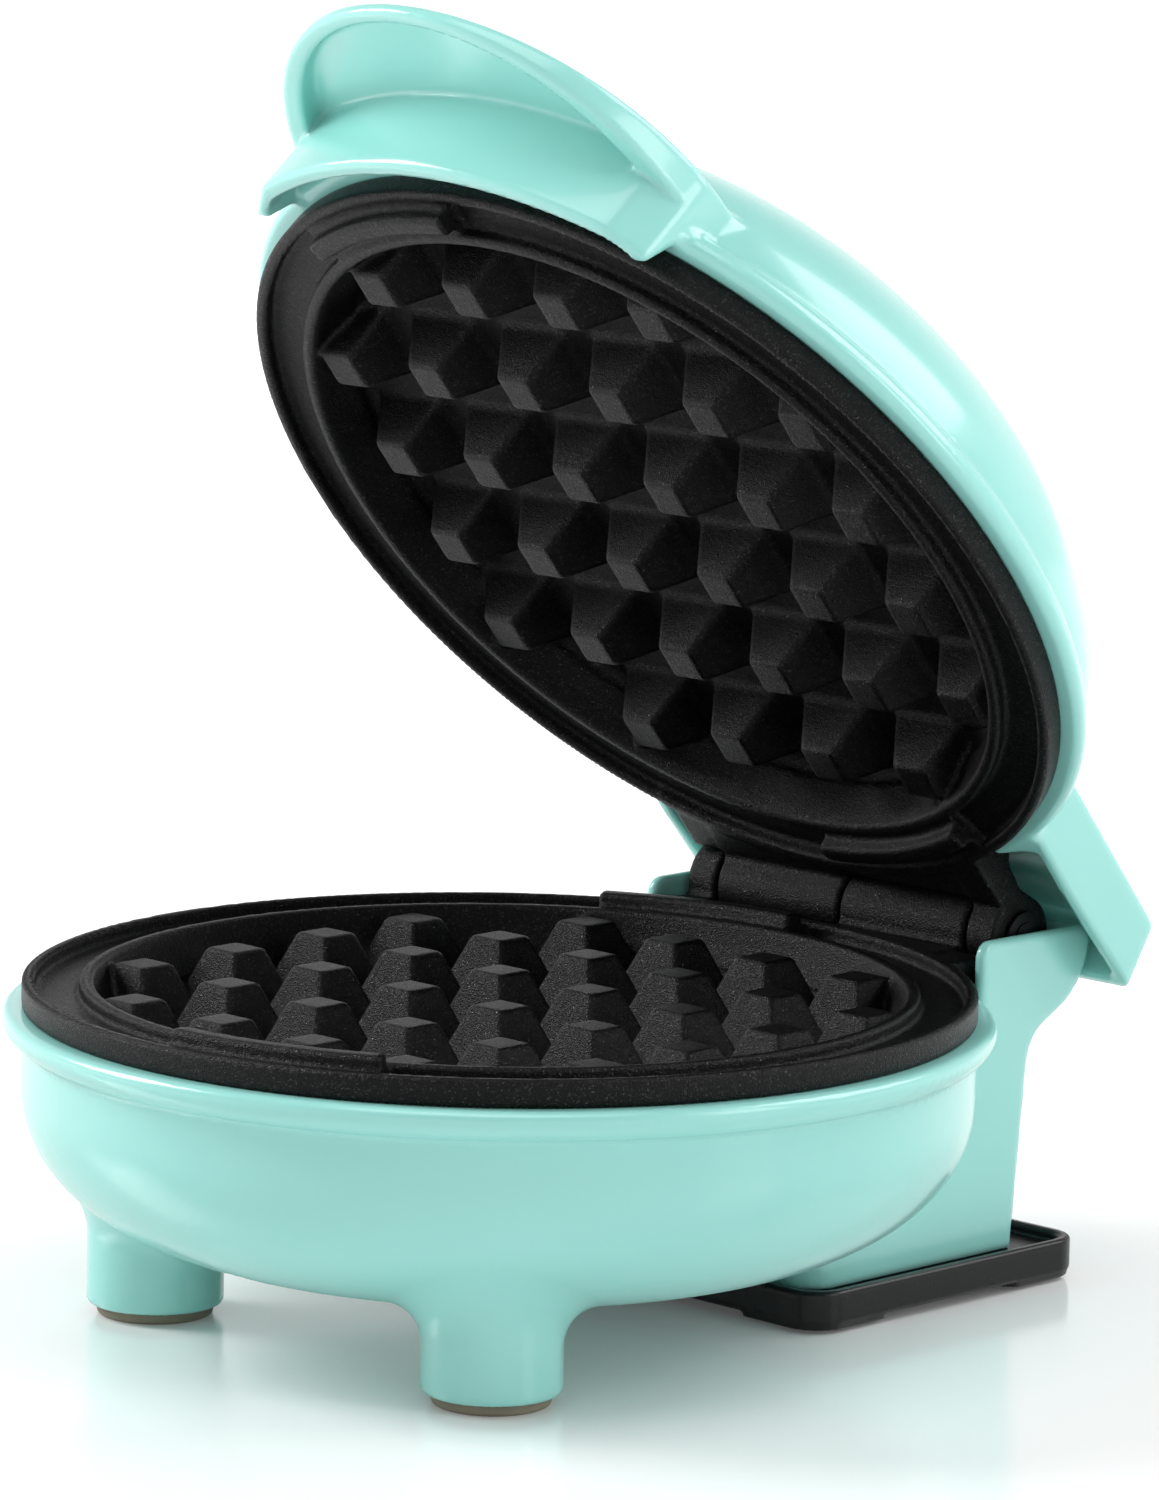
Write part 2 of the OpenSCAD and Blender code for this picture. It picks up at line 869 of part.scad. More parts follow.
module skirt()
    difference() {
        intersection() {
            translate([0, 0, skirt_z0])
                linear_extrude(20)
                    skirt_plan(0);
            under_brim_top(0.8);
        }
        translate([0, 0, skirt_z0 - 1])
            linear_extrude(skirt_roof_z - skirt_z0 + 1)
                skirt_plan(wall);
        // The skirt's rear edges slope up to the rim.
        along_x(200)
            polygon([
                [skirt_side_y - 0.3, skirt_z0 - 2], [-52.7, skirt_roof_z],
                [-30, skirt_roof_z], [-30, skirt_z0 - 2]
            ]);
    }

// Cover over the hinge: a leaning end wall, rounded top edges and rear corners.
module tail_outside() {
    corner_r = 1.5;
    edge_r = 1.2;
    lean_y = tail_low_y + tail_lean * (tail_low_z - 70);
    intersection() {
        along_x(3 * tail_w2)
            polygon([
                [tail_root_y, tail_root_z], [62, tail_root_z], [tail_low_y, tail_low_z],
                [lean_y, 70], [tail_root_y, 70]
            ]);
        translate([0, 0, 40])
            linear_extrude(40)
                rounded_rect(tail_w2, 20, tail_low_y + 0.5, corner_r);
        translate([0, 120, 0])
            rotate([90, 0, 0])
                linear_extrude(100)
                    rounded_rect(tail_w2 + 0.01, 20, tail_top_z, edge_r);
    }
}

module tail_inside() {
    roof_z = tail_top_z - tail_wall;
    back_y = tail_high_y - tail_wall * 1.05;
    along_x(2 * (tail_w2 - tail_wall))
        polygon([
            [tail_mouth_y, 40], [back_y + tail_lean * (tail_top_z - 40), 40],
            [back_y + tail_lean * tail_wall, roof_z], [tail_mouth_y, roof_z]
        ]);
}

spigot_l = 4;
lamp_ring_r = 6;

// Posts that reach down to the plate's bosses and end in spigots, and the ring
// that holds the lamp.
module lid_posts() {
    post_z = lid_seam_z + post_end;
    intersection() {
        at_angles(boss_angles, boss_ring_r)
            translate([0, 0, post_z])
                cylinder(r = boss_r, h = 30);
        rotate_extrude()
            dome_section(0.5);
    }
    at_angles(boss_angles, boss_ring_r)
        translate([0, 0, post_z - sheet - spigot_l])
            cylinder(r = screw_r, h = spigot_l + 2);
    translate([0, lens_y, dome_top_z - wall - 4])
        difference() {
            cylinder(r = lamp_ring_r + 1.5, h = 4.5);
            translate([0, 0, -1])
                cylinder(r = lamp_ring_r + 0.02, h = 5);
        }
}

module lid_shell()
    color(mint)
        place_lid()
            difference() {
                union() {
                    difference() {
                        union() {
                            rotate_extrude() {
                                dome_section(0);
                                lip_section(lid_lip_z, -1);
                            }
                            brim();
                            skirt();
                            tail_outside();
                        }
                        rotate_extrude()
                            dome_section(wall);
                        tail_inside();
                    }
                    mirror([1, 0, 0])
                        lid_posts();
                }
                translate([0, lens_y, dome_top_z - wall - 1])
                    cylinder(r = lens_r + 0.05, h = 10);
                // Room in the lip for the sides of the plate's tongue.
                translate([-lug_x - 0.4, 48, lid_lip_z - 1])
                    cube([2 * lug_x + 0.8, tail_mouth_y + 0.1 - 48, 2.6]);
            }

module indicator_lens()
    color(lens_amber)
        place_lid()
            translate([0, lens_y, dome_top_z - wall])
                rotate_extrude()
                    polygon([
                        [0, -1], [lens_r + 1.6, -1], [lens_r + 1.6, 0], [lens_r, 0],
                        [lens_r, wall + 0.2], [lens_r - 0.5, wall + 0.6], [0, wall + 0.8]
                    ]);

module indicator_lamp()
    color(lens_amber)
        place_lid()
            translate([0, lens_y, dome_top_z - wall - 7])
                cylinder(r = 2.2, h = 5.9);

module lamp_holder()
    color(cream)
        place_lid()
            translate([0, lens_y, dome_top_z - wall - 7.2])
                difference() {
                    union() {
                        cylinder(r = 4, h = 6);
                        translate([0, 0, 4.9])
                            cylinder(r = lamp_ring_r, h = 1.3);
                    }
                    translate([0, 0, -1])
                        cylinder(r = 2.25, h = 9);
                }

// Sleeve in the lid that follows a circle round the hinge axis, so that it slides
// along itself in the column as the lid swings.
module lead_sleeve()
    color(sleeve_grey)
        place_lid()
            for (side = [-1, 1])
                translate([side * sleeve_x, hinge_y, hinge_z]) {
                    rotate([90, 0, 90])
                        rotate([0, 0, -5])
                            rotate_extrude(angle = 95)
                                translate([sleeve_ring_r, 0])
                                    circle(r = sleeve_r);
                    translate([0, 0.4, sleeve_ring_r])
                        rotate([90, 0, 0])
                            cylinder(r = sleeve_r - 0.1, h = 11.9);
                }

module lid_leads()
    color(lead_white)
        place_lid()
            for (side = [-1, 1])
                lead([
                    [side * sleeve_x, hinge_y - 11.6, hinge_z + sleeve_ring_r],
                    [side * sleeve_x, 55.6, hinge_z + sleeve_ring_r],
                    [side * 10, 54.1, 55.2], [side * 8, 50, 57], [side * 6, 44, 58],
                    [side * 5, 36.5, 58]
                ], lead_r);

base_shell();
left_foot_pad();
right_foot_pad();
cord_wrap_base();
cord_base_pads();
cord_base_screws();
cord_gland();
terminal_block();
base_leads();
lower_plate();
lower_plate_screws();
lower_heat_shield();
lower_element();
lower_element_clamps();
lower_clamp_screws();
thermostat();
thermal_fuse();
hinge_pin();
hinge_clip();
lid_shell();
upper_plate();
upper_heat_shield();
upper_element();
upper_element_clamps();
upper_clamp_screws();
lead_sleeve();
lid_leads();
indicator_lens();
indicator_lamp();
lamp_holder();
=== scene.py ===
"""Looks of a small round waffle maker with its lid open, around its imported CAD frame.

Each moulded or cast part is a field: a function of position that is negative inside
the part and zero on its surface. Joining and cutting fields with a radius gives the
part its fillets and rounded edges. Lengths in the fields are in millimetres, from the
centre of the lower plate on the floor, with the lid closed.
"""

import json
import math

import bpy
import numpy as np
from mathutils import Matrix, Vector


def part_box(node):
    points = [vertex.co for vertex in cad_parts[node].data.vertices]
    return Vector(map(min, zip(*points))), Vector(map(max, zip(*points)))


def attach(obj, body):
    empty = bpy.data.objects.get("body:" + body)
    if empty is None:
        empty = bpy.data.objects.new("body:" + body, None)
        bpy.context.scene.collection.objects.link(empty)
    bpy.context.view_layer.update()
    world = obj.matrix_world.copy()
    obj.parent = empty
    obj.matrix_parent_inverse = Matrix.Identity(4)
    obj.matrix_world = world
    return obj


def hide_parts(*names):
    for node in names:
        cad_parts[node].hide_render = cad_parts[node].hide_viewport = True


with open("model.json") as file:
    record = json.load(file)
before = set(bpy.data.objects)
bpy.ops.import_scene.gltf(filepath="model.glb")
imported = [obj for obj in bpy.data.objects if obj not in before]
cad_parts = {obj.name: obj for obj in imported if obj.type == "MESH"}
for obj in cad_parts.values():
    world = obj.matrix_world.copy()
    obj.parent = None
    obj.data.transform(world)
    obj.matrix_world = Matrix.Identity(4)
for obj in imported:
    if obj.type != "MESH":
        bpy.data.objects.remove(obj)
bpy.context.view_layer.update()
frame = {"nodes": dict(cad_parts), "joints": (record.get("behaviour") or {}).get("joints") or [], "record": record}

# ---- Driving dimensions, in mm ----

MM = 0.001
hinge = frame["joints"][0]
plate_low, plate_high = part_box("lower_plate")
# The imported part's own sizes; the rest below repeat its source.
PLATE_R = plate_high.x / MM
CENTRE_Y = plate_low.y / MM + PLATE_R
HINGE_Y = hinge["pos_m"][1] / MM - CENTRE_Y
HINGE_Z = hinge["pos_m"][2] / MM
LID_OPEN = -math.radians(hinge["range_deg"][0])
RIM_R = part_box("base_shell")[1].x / MM
COLUMN_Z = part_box("terminal_block")[0].z / MM

SEAM = 43.6
LID_SEAM = SEAM + 0.3
EDGE_H = 3.5
BASE_LIP = SEAM - EDGE_H
LID_LIP = LID_SEAM + EDGE_H
WALL = 2.2
BOSS_ANGLES = (30, 150, 270)
BOSS_RING = 44
BOSS_R = 3.4
POST_END = 16.6
STAND_SCREW_X, STAND_SCREW_Y = 25.2, 48
BASE_CELL, LID_CELL, CASTING_CELL, STAND_CELL = 0.62, 0.58, 0.5, 0.4


# ---- Fields ----


def length(*parts):
    return np.sqrt(sum(p * p for p in parts))


def join(a, b, radius=0.0):
    """Both parts as one, with a fillet of that radius between them."""
    if radius == 0:
        return np.minimum(a, b)
    return np.maximum(radius, np.minimum(a, b)) - length(
        np.maximum(radius - a, 0), np.maximum(radius - b, 0)
    )


def common(a, b, radius=0.0):
    """What lies in both parts, with its edge rounded to that radius."""
    return -join(-a, -b, radius)


def cut(a, b, radius=0.0):
    """The first part without the second, with its edge rounded to that radius."""
    return -join(-a, b, radius)


def polygon(points):
    """Field of a closed outline in the plane."""
    ring = np.array(points, np.float32)

    def field(u, v):
        nearest = np.full(u.shape, 1e12, np.float32)
        inside = np.zeros(u.shape, bool)
        for (ax, ay), (bx, by) in zip(ring, np.roll(ring, -1, axis=0)):
            ex, ey = bx - ax, by - ay
            du, dv = u - ax, v - ay
            t = np.clip((du * ex + dv * ey) / (ex * ex + ey * ey), 0, 1)
            ru, rv = du - ex * t, dv - ey * t
            nearest = np.minimum(nearest, ru * ru + rv * rv)
            if ey != 0:
                crosses = (ay > v) != (by > v)
                inside ^= crosses & (u < ax + (v - ay) * (ex / ey))
        return np.where(inside, -1, 1) * np.sqrt(nearest)

    return field


def arc(centre, radius, start, end, count=8):
    turn = np.radians(np.linspace(start, end, count + 1))
    return [
        (centre[0] + radius * math.cos(t), centre[1] + radius * math.sin(t)) for t in turn
    ]


def oval(r_flat, r_max, z_side, z_flat, power, count=40):
    """Quarter oval from the upright side to the flat."""
    turn = np.linspace(0, math.pi / 2, count + 1)
    return [
        (
            r_flat + (r_max - r_flat) * math.cos(t) ** (2 / power) if t < math.pi / 2 else r_flat,
            z_side + (z_flat - z_side) * math.sin(t) ** (2 / power),
        )
        for t in turn
    ]


def surface(field, low, high, cell):
    """Vertices and quads of the surface on which field is zero."""
    low, high = np.array(low, float), np.array(high, float)
    block = 8
    blocks = np.ceil((high - low) / (cell * block)).astype(int)
    counts = blocks * block + 1
    axes = [low[i] + cell * np.arange(counts[i]) for i in range(3)]
    # Blocks whose centre is far from the surface are skipped.
    centres = [axes[i][:-1].reshape(-1, block).mean(1) + cell / 2 for i in range(3)]
    far = field(*[c.astype(np.float32) for c in np.meshgrid(*centres, indexing="ij")])
    reach = cell * block * math.sqrt(3) / 2 * 1.35 + cell
    values = np.full(counts, 1.0, np.float32)
    for start in np.argwhere(far < -reach) * block:
        i, j, k = start
        values[i : i + block + 1, j : j + block + 1, k : k + block + 1] = -1
    near = np.zeros(counts, bool)
    for start in np.argwhere(np.abs(far) <= reach) * block:
        i, j, k = start
        near[i : i + block + 1, j : j + block + 1, k : k + block + 1] = True
    at = np.argwhere(near)
    values[near] = field(*[axes[i][at[:, i]].astype(np.float32) for i in range(3)])

    corner = np.array([[x, y, z] for x in (0, 1) for y in (0, 1) for z in (0, 1)])
    solid = values < 0
    filled = sum(
        solid[x : counts[0] - 1 + x, y : counts[1] - 1 + y, z : counts[2] - 1 + z].astype(np.int8)
        for x, y, z in corner
    )
    cells = np.argwhere((filled > 0) & (filled < 8))
    index = np.full(counts - 1, -1, np.int64)
    index[tuple(cells.T)] = np.arange(len(cells))
    total = np.zeros((len(cells), 3))
    hits = np.zeros(len(cells))
    at_corner = [values[tuple((cells + c).T)] for c in corner]
    for a in range(8):
        for b in range(a + 1, 8):
            if abs(corner[a] - corner[b]).sum() != 1:
                continue
            va, vb = at_corner[a], at_corner[b]
            crosses = (va < 0) != (vb < 0)
            t = np.where(crosses, va / np.where(crosses, va - vb, 1), 0)[:, None]
            total += np.where(crosses[:, None], corner[a] + t * (corner[b] - corner[a]), 0)
            hits += crosses
    points = low + cell * (cells + total / hits[:, None])

    quads = []
    for axis in range(3):
        u, v = [(1, 2), (2, 0), (0, 1)][axis]
        step = np.eye(3, dtype=int)
        first = solid.take(range(counts[axis] - 1), axis)
        last = solid.take(range(1, counts[axis]), axis)
        edges = np.argwhere(first != last)
        inner = np.all([(edges[:, w] > 0) & (edges[:, w] < counts[w] - 1) for w in (u, v)], axis=0)
        edges = edges[inner]
        outward = first[tuple(edges.T)]
        ring = [edges - step[u] - step[v], edges - step[v], edges, edges - step[u]]
        faces = np.stack([index[tuple(c.T)] for c in ring], axis=1)
        quads.append(np.where(outward[:, None], faces, faces[:, ::-1]))
    quads = np.concatenate(quads)

    # Pull each vertex on to the surface along the field's slope.
    h = cell * 0.05
    for _ in range(4):
        value = field(*points.T.astype(np.float32)).astype(float)
        slope = np.stack(
            [
                (
                    field(*(points + h * e).T.astype(np.float32))
                    - field(*(points - h * e).T.astype(np.float32))
                )
                / (2 * h)
                for e in np.eye(3)
            ],
            axis=1,
        ).astype(float)
        move = -slope * (value / np.maximum((slope**2).sum(1), 0.25))[:, None]
        size = np.maximum(np.linalg.norm(move, axis=1) / (cell * 0.4), 1)
        points = points + move / size[:, None]
    return points, quads


# ---- Shapes shared by several parts ----


def slab(v, low, high):
    return np.maximum(low - v, v - high)


def block(x, y, z, xs, ys, zs, radius=0.0):
    return common(common(slab(x, *xs), slab(y, *ys), radius), slab(z, *zs), radius)


def rounded_rect(x, y, half_x, low_y, high_y, radius):
    middle, half_y = (low_y + high_y) / 2, (high_y - low_y) / 2
    dx = np.abs(x) - half_x + radius
    dy = np.abs(y - middle) - half_y + radius
    outside = length(np.maximum(dx, 0), np.maximum(dy, 0))
    return outside + np.minimum(np.maximum(dx, dy), 0) - radius


def lip_outline(lip, side):
    """Section of the lip under a plate's edge; side is 1 on the bowl and -1 on the lid."""
    return [
        (57, lip),
        *arc((RIM_R - 1.2, lip - side * 1.2), 1.2, side * 90, 0, 6),
        (RIM_R - 0.1, lip - side * 1.9),
        (RIM_R - 0.6, lip - side * 2.8),
        (RIM_R - 1.3, lip - side * 3.5),
        (RIM_R - 2.1, lip - side * 3.9),
        (RIM_R - 3, lip - side * 4),
        (57, lip - side * 4),
    ]


def at_bosses(x, y, turned=1):
    """Distance from the nearest boss's axis."""
    return np.minimum.reduce(
        [
            length(
                x - turned * BOSS_RING * math.cos(math.radians(a)),
                y - BOSS_RING * math.sin(math.radians(a)),
            )
            for a in BOSS_ANGLES
        ]
    )


# ---- Cast plates ----

CAVITY_R = 51.2
CAVITY_H = 7.8
CASTING_H = 10.8
PITCH = 16.1
STUD_TOP, STUD_FOOT = 2.8, 5.6
KNUCKLE_R = 5.5
PIN_R = 2.05
BARREL_X, LUG_X = 22.2, 27.4
KNUCKLE_GAP = 0.15
TONGUE = (-4.7, -0.6)
SLEEVE_X, SLEEVE_RING, SLEEVE_ROOM = 11, 7.3, 1.8

plate_section = polygon(
    [
        (0, -CASTING_H),
        (53, -CASTING_H),
        (54.5, -CASTING_H + 1.5),
        (54.5, -EDGE_H),
        *arc((PLATE_R - 0.5, -EDGE_H + 0.5), 0.5, -90, 0, 3),
        *arc((PLATE_R - 0.5, -0.5), 0.5, 0, 90, 4),
        *arc((PLATE_R - 1.3, -0.3), 0.3, 90, 180, 3),
        (PLATE_R - 1.6, -1.6),
        (PLATE_R - 1.9, -1.9),
        (53.3, -1.9),
        (53, -1.6),
        *arc((52.5, -0.6), 0.5, 0, 90, 4),
        *arc((51.9, -0.8), 0.7, 90, 180, 4),
        (50.6, -3),
        (49.3, -6.1),
        *arc((47.6, -5.8), 2.0, -15, -90, 6),
        (0, -CAVITY_H),
    ]
)
key_section = polygon(
    [
        (52, -3),
        (59.4, -3),
        (59.4, -0.45),
        (57.5, -0.4),
        (57.1, -0.1),
        *arc((56.4, 0.85), 0.65, 0, 90, 4),
        *arc((54.9, 0.85), 0.65, 90, 180, 4),
        (54.1, -0.1),
        (53.7, -0.4),
        (52, -0.45),
    ]
)


def sector(x, y, start, sweep):
    """Field of the wedge between two half-planes through the axis."""
    a, b = math.radians(start), math.radians(start + sweep)
    return np.maximum(
        x * math.sin(a) - y * math.cos(a),
        y * math.cos(b) - x * math.sin(b),
    )


def studs(x, y, z):
    lean = (STUD_FOOT - STUD_TOP) / (CAVITY_H - 0.9)
    level = 1 / math.hypot(1, lean)
    half = STUD_TOP + lean * (-0.9 - z)
    across = [np.abs(v / PITCH - np.floor(v / PITCH) - 0.5) * PITCH for v in (x, y)]
    side = common((across[0] - half) * level, (across[1] - half) * level, 0.7)
    stud = common(side, z + 0.9, 0.5)
    outermost = np.maximum(np.abs(x), np.abs(y)) - 3 * PITCH
    corner = np.minimum(np.abs(x), np.abs(y)) - 2 * PITCH
    edge = length(x, y) - CAVITY_R - 0.5
    return np.maximum.reduce([stud, outermost, corner, edge])


def casting(axis_z):
    """Field of a plate that lies face up at z = 0, its hinge axis at that height."""
    own = ((-LUG_X, -BARREL_X - KNUCKLE_GAP), (KNUCKLE_GAP, BARREL_X - KNUCKLE_GAP))
    other = ((-BARREL_X - KNUCKLE_GAP, KNUCKLE_GAP), (BARREL_X - KNUCKLE_GAP, LUG_X + 3))

    def field(x, y, z):
        r = length(x, y)
        plate = plate_section(r, z)
        for start in (-89.5, 91):
            key = common(key_section(r, z), sector(x, y, start, 30), 0.4)
            plate = join(plate, key, 0.2)
        plate = join(plate, studs(x, y, z), 0.9)
        tongue = block(x, y, z, (-LUG_X, LUG_X), (50, HINGE_Y - 6.3), TONGUE, 0.8)
        barrel = length(y - HINGE_Y, z - axis_z)
        for ends in own:
            web = block(x, y, z, ends, (50, HINGE_Y), TONGUE, 0.5)
            knuckle = common(barrel - KNUCKLE_R, slab(x, *ends), 0.6)
            tongue = join(join(tongue, web, 0.8), knuckle, 1.2)
        # Ribs that stiffen the tongue at the plate's edge.
        rib_x = (LUG_X - 5.2, LUG_X - 0.2)
        rib = block(np.abs(x), y, z, rib_x, (50, HINGE_Y - 7), (-9, -3.5), 0.6)
        lean = (z + 9.5) * 0.78 - (y - 54) * 0.62
        tongue = join(tongue, common(rib, -lean, 0.6), 0.8)
        for ends in other:
            room = common(barrel - KNUCKLE_R - 0.8, slab(x, *ends))
            tongue = cut(tongue, room, 0.4)
        # Room for the lead sleeves that pass under the knuckles as the lid opens.
        sleeve_room = length(np.abs(x) - SLEEVE_X, barrel - SLEEVE_RING) - SLEEVE_ROOM
        tongue = cut(tongue, np.maximum(sleeve_room, z - axis_z + 3), 0.3)
        # The fillets stay inside the tongue's width, clear of the pin's clip.
        tongue = np.maximum(np.maximum(tongue, PLATE_R - 1.2 - r), np.abs(x) - LUG_X)
        plate = join(plate, tongue, 1.0)
        plate = cut(plate, barrel - PIN_R, 0.2)
        boss_height = slab(z, 0.8 - POST_END, -CASTING_H + 1)
        boss = common(at_bosses(x, y) - BOSS_R, boss_height, 0.3)
        plate = join(plate, boss, 0.6)
        return cut(plate, common(at_bosses(x, y) - 1.55, z + CASTING_H - 2))

    return field


# ---- Base ----

BOWL_R, BOWL_FLOOR, BOWL_FLAT, BOWL_SIDE, BOWL_POWER = 60.2, 10, 30, 30, 2.1
bowl_outline = polygon(
    [
        (0, 37.5),
        (BOWL_R, 37.5),
        *oval(BOWL_FLAT, BOWL_R, BOWL_SIDE, BOWL_FLOOR, BOWL_POWER),
        (0, BOWL_FLOOR),
    ]
)
bowl_hollow = polygon(
    [
        (0, 60),
        (BOWL_R - WALL, 60),
        *oval(BOWL_FLAT, BOWL_R - WALL, BOWL_SIDE, BOWL_FLOOR + WALL, BOWL_POWER),
        (0, BOWL_FLOOR + WALL),
    ]
)
base_lip = polygon(lip_outline(BASE_LIP, 1))
COLUMN_X = 30.2
CHEEK = 1.7
BARREL_BACK = 10.9
FOOT_X, FOOT_Y, FOOT_R, PAD_R = 30.2, -30.7, 8.7, 7.5
GLAND_Z, GLAND_FACE = 14, 66.9


def column_outline(inset, low):
    """Side outline of the hinge column, which rounds the hinge at its back."""
    top, front, back = 45.6 - inset, 57.8 + inset, HINGE_Y + BARREL_BACK - inset
    neck = 67.2 - inset
    return polygon(
        [
            (25, low),
            (25, 24),
            (front, 36),
            *arc((front + 2.2, top - 2.2), 2.2, 180, 90, 8),
            *arc((back - 2.2, top - 2.2), 2.2, 90, 0, 8),
            *arc((HINGE_Y, HINGE_Z), BARREL_BACK - inset, -12, -62, 16),
            *arc((neck + 6.5, 27.9), 6.5, 125, 180, 10),
            (65 - inset, low),
        ]
    )


column_side = column_outline(0, COLUMN_Z)
column_hollow = column_outline(CHEEK, COLUMN_Z - 5)


def column_plan(x, y, inset):
    return rounded_rect(x, y, COLUMN_X - inset, 26 + inset, HINGE_Y + 20, 5 - inset)


def base_field(x, y, z):
    """Bowl, front feet and hinge column, with the posts inside them."""
    r = length(x, y)
    bowl = join(bowl_outline(r, z), base_lip(r, z), 0.35)
    column = common(column_side(y, z), column_plan(x, y, 0), 0.7)
    foot_at = length(np.abs(x) - FOOT_X, y - FOOT_Y)
    foot = common(foot_at - FOOT_R, slab(z, 1.4, 20), 0.8)
    body = join(join(bowl, column, 0.12), foot, 4.5)
    hollow = bowl_hollow(r, z)
    body = cut(body, hollow, 0.3)
    room = np.maximum(column_hollow(y, z), column_plan(x, y, CHEEK))
    body = cut(body, np.maximum(room, -join(bowl_outline(r, z), base_lip(r, z))), 0.3)
    mouth = block(x, y, z, (CHEEK - COLUMN_X, COLUMN_X - CHEEK), (48, HINGE_Y + 9.2), (38.5, 60))
    body = cut(body, mouth, 0.6)
    body = cut(body, block(x, y, z, (-14, 14), (50, 57.5), (12, 32)), 0.3)
    body = cut(body, np.maximum(foot_at - PAD_R, z - 2.4), 0.2)
    posts = common(at_bosses(x, y) - BOSS_R, slab(z, 10, SEAM - POST_END), 0.3)
    body = join(body, np.maximum(posts, bowl_outline(r, z) + 0.5), 0.6)
    screw_at = length(np.abs(x) - STAND_SCREW_X, y - STAND_SCREW_Y)
    stand_posts = np.maximum(common(screw_at - 3.8, slab(z, COLUMN_Z, 22), 0.3), -hollow)
    body = join(body, stand_posts, 0.4)
    gland_at = length(x, z - GLAND_Z)
    body = join(body, common(gland_at - 7.2, slab(y, 62, GLAND_FACE), 0.4), 0.6)
    body = cut(body, np.maximum(at_bosses(x, y) - 1.7, z - 40))
    body = cut(body, common(at_bosses(x, y) - 3.2, z - 16.5), 0.3)
    body = cut(body, np.maximum(screw_at - 1.55, z - 14))
    return cut(body, common(gland_at - 4.6, slab(y, 54, 80)), 0.2)


# ---- Lid ----

DOME_R, DOME_TOP, DOME_FLAT, DOME_SIDE, DOME_POWER = 60.5, 75.5, 25.8, 50.2, 1.73
dome_outline = polygon(
    [
        (0, LID_LIP + 1),
        (DOME_R, LID_LIP + 1),
        *oval(DOME_FLAT, DOME_R, DOME_SIDE, DOME_TOP, DOME_POWER),
        (0, DOME_TOP),
    ]
)
dome_hollow = polygon(
    [
        (0, 20),
        (DOME_R - WALL, 20),
        *oval(DOME_FLAT, DOME_R - WALL, DOME_SIDE, DOME_TOP - WALL, DOME_POWER),
        (0, DOME_TOP - WALL),
    ]
)
lid_lip = polygon(lip_outline(LID_LIP, -1))
HANDLE_X, HANDLE_Y = 34, -49.5
BRIM_LOW = 51.2
SKIRT_R, SKIRT_LOW, SKIRT_ROOF = 67, 41.8, 48.6
TAIL_X, TAIL_TOP, TAIL_WALL = 36, 58.4, 1.8
TAIL_BACK, TAIL_BACK_Z, TAIL_LEAN = 81.6, 49.5, 2.9 / 8.9
LENS_Y = -12


def brim_drop(r, z):
    """Height above the brim's top, which falls away from the dome."""
    out = np.maximum(r - 58.8, 0)
    return (z - 57 + 0.045 * out + 0.0043 * out * out) * 0.985


def skirt_plan(x, y, inset):
    side = np.abs(x) - HANDLE_X + inset
    angled = (np.abs(x) - HANDLE_X + inset * 0.6) * 0.773 - (y + 55 - inset * 0.4) * 0.634
    return common(common(side, angled, 0.4), length(x, y) - SKIRT_R + inset, 0.4)


def handle_field(x, y, z, r):
    """Jutting brim with a thumb pocket, and the skirt that hangs below it."""
    ahead = np.where(y < HANDLE_Y, length(x, y - HANDLE_Y), np.abs(x)) - HANDLE_X
    ahead = np.maximum(ahead, y + 25)
    brim = common(common(ahead, brim_drop(r, z), 1.1), BRIM_LOW - z, 0.6)
    pocket = common(length(x, y + 51.6) - 29.9, brim_drop(r, z) + 1.7, 0.5)
    brim = cut(brim, pocket, 0.5)
    plan = np.maximum(skirt_plan(x, y, 0), y + 25)
    skirt = common(common(plan, SKIRT_LOW - z, 0.7), brim_drop(r, z) + 0.9)
    inside = common(skirt_plan(x, y, WALL), z - SKIRT_ROOF, 0.5)
    skirt = cut(skirt, inside, 0.6)
    rear = np.maximum((z - 39.8) * 0.34 - (y + 55.3) * 0.94, z - SKIRT_ROOF)
    skirt = cut(skirt, rear, 0.8)
    return join(brim, skirt, 0.4)


def tail_field(x, y, z):
    """Cover over the hinge, whose back face leans in towards its top."""
    back = (y - TAIL_BACK + TAIL_LEAN * (z - TAIL_BACK_Z)) / math.hypot(1, TAIL_LEAN)
    bottom = 48.6 - z + np.maximum(y - 62, 0) * 0.046
    shape = common(np.abs(x) - TAIL_X, back, 1.3)
    shape = common(shape, z - TAIL_TOP, 1.1)
    shape = common(shape, bottom, 0.5)
    return np.maximum(shape, 40 - y)


def tail_hollow(x, y, z):
    inner_back = TAIL_BACK - TAIL_WALL * 1.05
    back = (y - inner_back + TAIL_LEAN * (z - TAIL_BACK_Z)) / math.hypot(1, TAIL_LEAN)
    shape = common(np.abs(x) - TAIL_X + TAIL_WALL, back, 1.6)
    shape = common(shape, z - TAIL_TOP + TAIL_WALL, 1.0)
    return np.maximum(shape, 55.5 - y)


